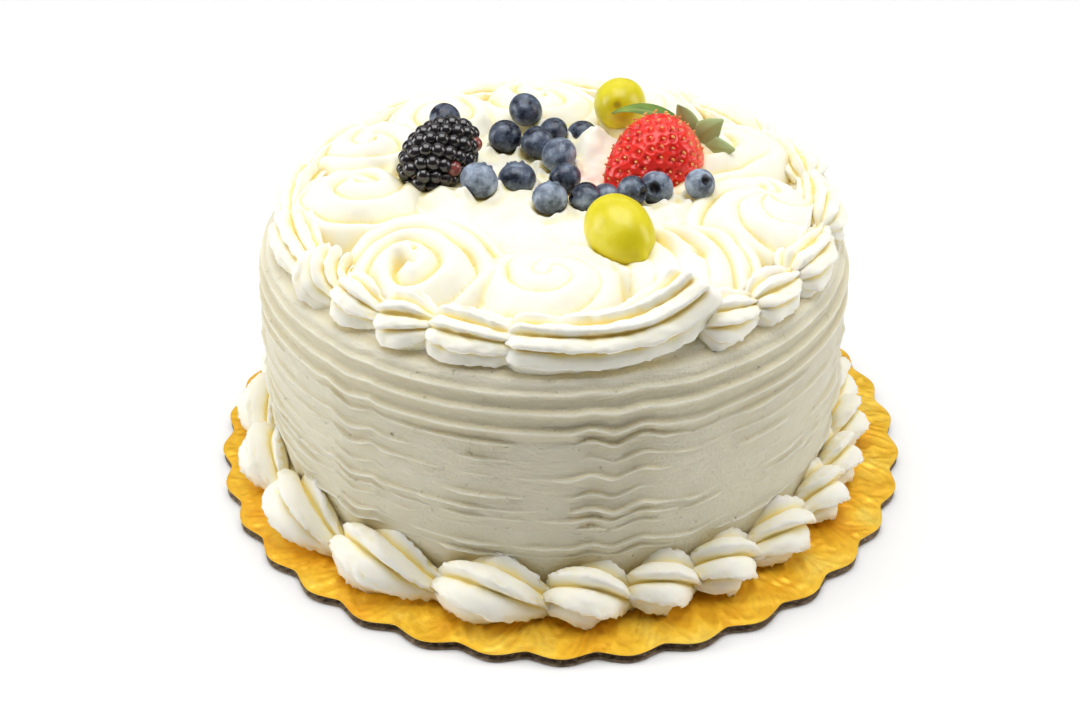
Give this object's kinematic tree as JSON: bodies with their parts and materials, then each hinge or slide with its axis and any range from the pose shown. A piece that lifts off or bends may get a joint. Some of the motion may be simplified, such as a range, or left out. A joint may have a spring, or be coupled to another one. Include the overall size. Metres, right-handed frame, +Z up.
{
  "type": "fruit basket cake",
  "caption": "A round cream cake with combed sides, piped shells at its foot, rosettes and a ribbed border on top, a heap of whole fruit in the middle and a scalloped gold board under it.",
  "frame": {"origin": "the middle of the board's underside", "axes": "+Z up, +Y away from the front, +X to the right as the front is seen"},
  "size_m": [0.2509, 0.2508, 0.1222],
  "materials": {
    "gold_board": "embossed gold foil",
    "cream_side": "smoothed whipped cream",
    "piped_cream": "piped whipped cream",
    "blueberry_skin": "dusty bloom",
    "grape_skin": "thin waxy skin",
    "bramble_skin": "glossy drupelets",
    "strawberry_skin": "glossy",
    "strawberry_leaf": "matte leaf"
  },
  "bodies": {
    "root": {"board": "gold_board", "cake": "cream_side", "rim_border": "piped_cream", "foot_shell_1": "piped_cream", "foot_shell_2": "piped_cream", "foot_shell_3": "piped_cream", "foot_shell_4": "piped_cream", "foot_shell_5": "piped_cream", "foot_shell_6": "piped_cream", "foot_shell_7": "piped_cream", "foot_shell_8": "piped_cream", "foot_shell_9": "piped_cream", "foot_shell_10": "piped_cream", "foot_shell_11": "piped_cream", "foot_shell_12": "piped_cream", "foot_shell_13": "piped_cream", "foot_shell_14": "piped_cream", "foot_shell_15": "piped_cream", "foot_shell_16": "piped_cream", "foot_shell_17": "piped_cream", "foot_shell_18": "piped_cream", "foot_shell_19": "piped_cream", "foot_shell_20": "piped_cream", "foot_shell_21": "piped_cream", "foot_shell_22": "piped_cream", "foot_shell_23": "piped_cream", "rosette_1": "piped_cream", "rosette_2": "piped_cream", "rosette_3": "piped_cream", "rosette_4": "piped_cream", "rosette_5": "piped_cream", "rosette_6": "piped_cream", "rosette_7": "piped_cream", "rosette_8": "piped_cream", "rosette_9": "piped_cream", "rosette_10": "piped_cream", "blueberry_1": "blueberry_skin", "blueberry_2": "blueberry_skin", "blueberry_3": "blueberry_skin", "blueberry_4": "blueberry_skin", "blueberry_5": "blueberry_skin", "blueberry_6": "blueberry_skin", "blueberry_7": "blueberry_skin", "blueberry_8": "blueberry_skin", "blueberry_9": "blueberry_skin", "blueberry_10": "blueberry_skin", "blueberry_11": "blueberry_skin", "blueberry_12": "blueberry_skin", "blueberry_13": "blueberry_skin", "blueberry_14": "blueberry_skin", "blueberry_15": "blueberry_skin", "blueberry_16": "blueberry_skin", "grape_1": "grape_skin", "grape_2": "grape_skin", "bramble_berry": "bramble_skin", "strawberry": "strawberry_skin", "strawberry_calyx": "strawberry_leaf"}
  },
  "joints": []
}
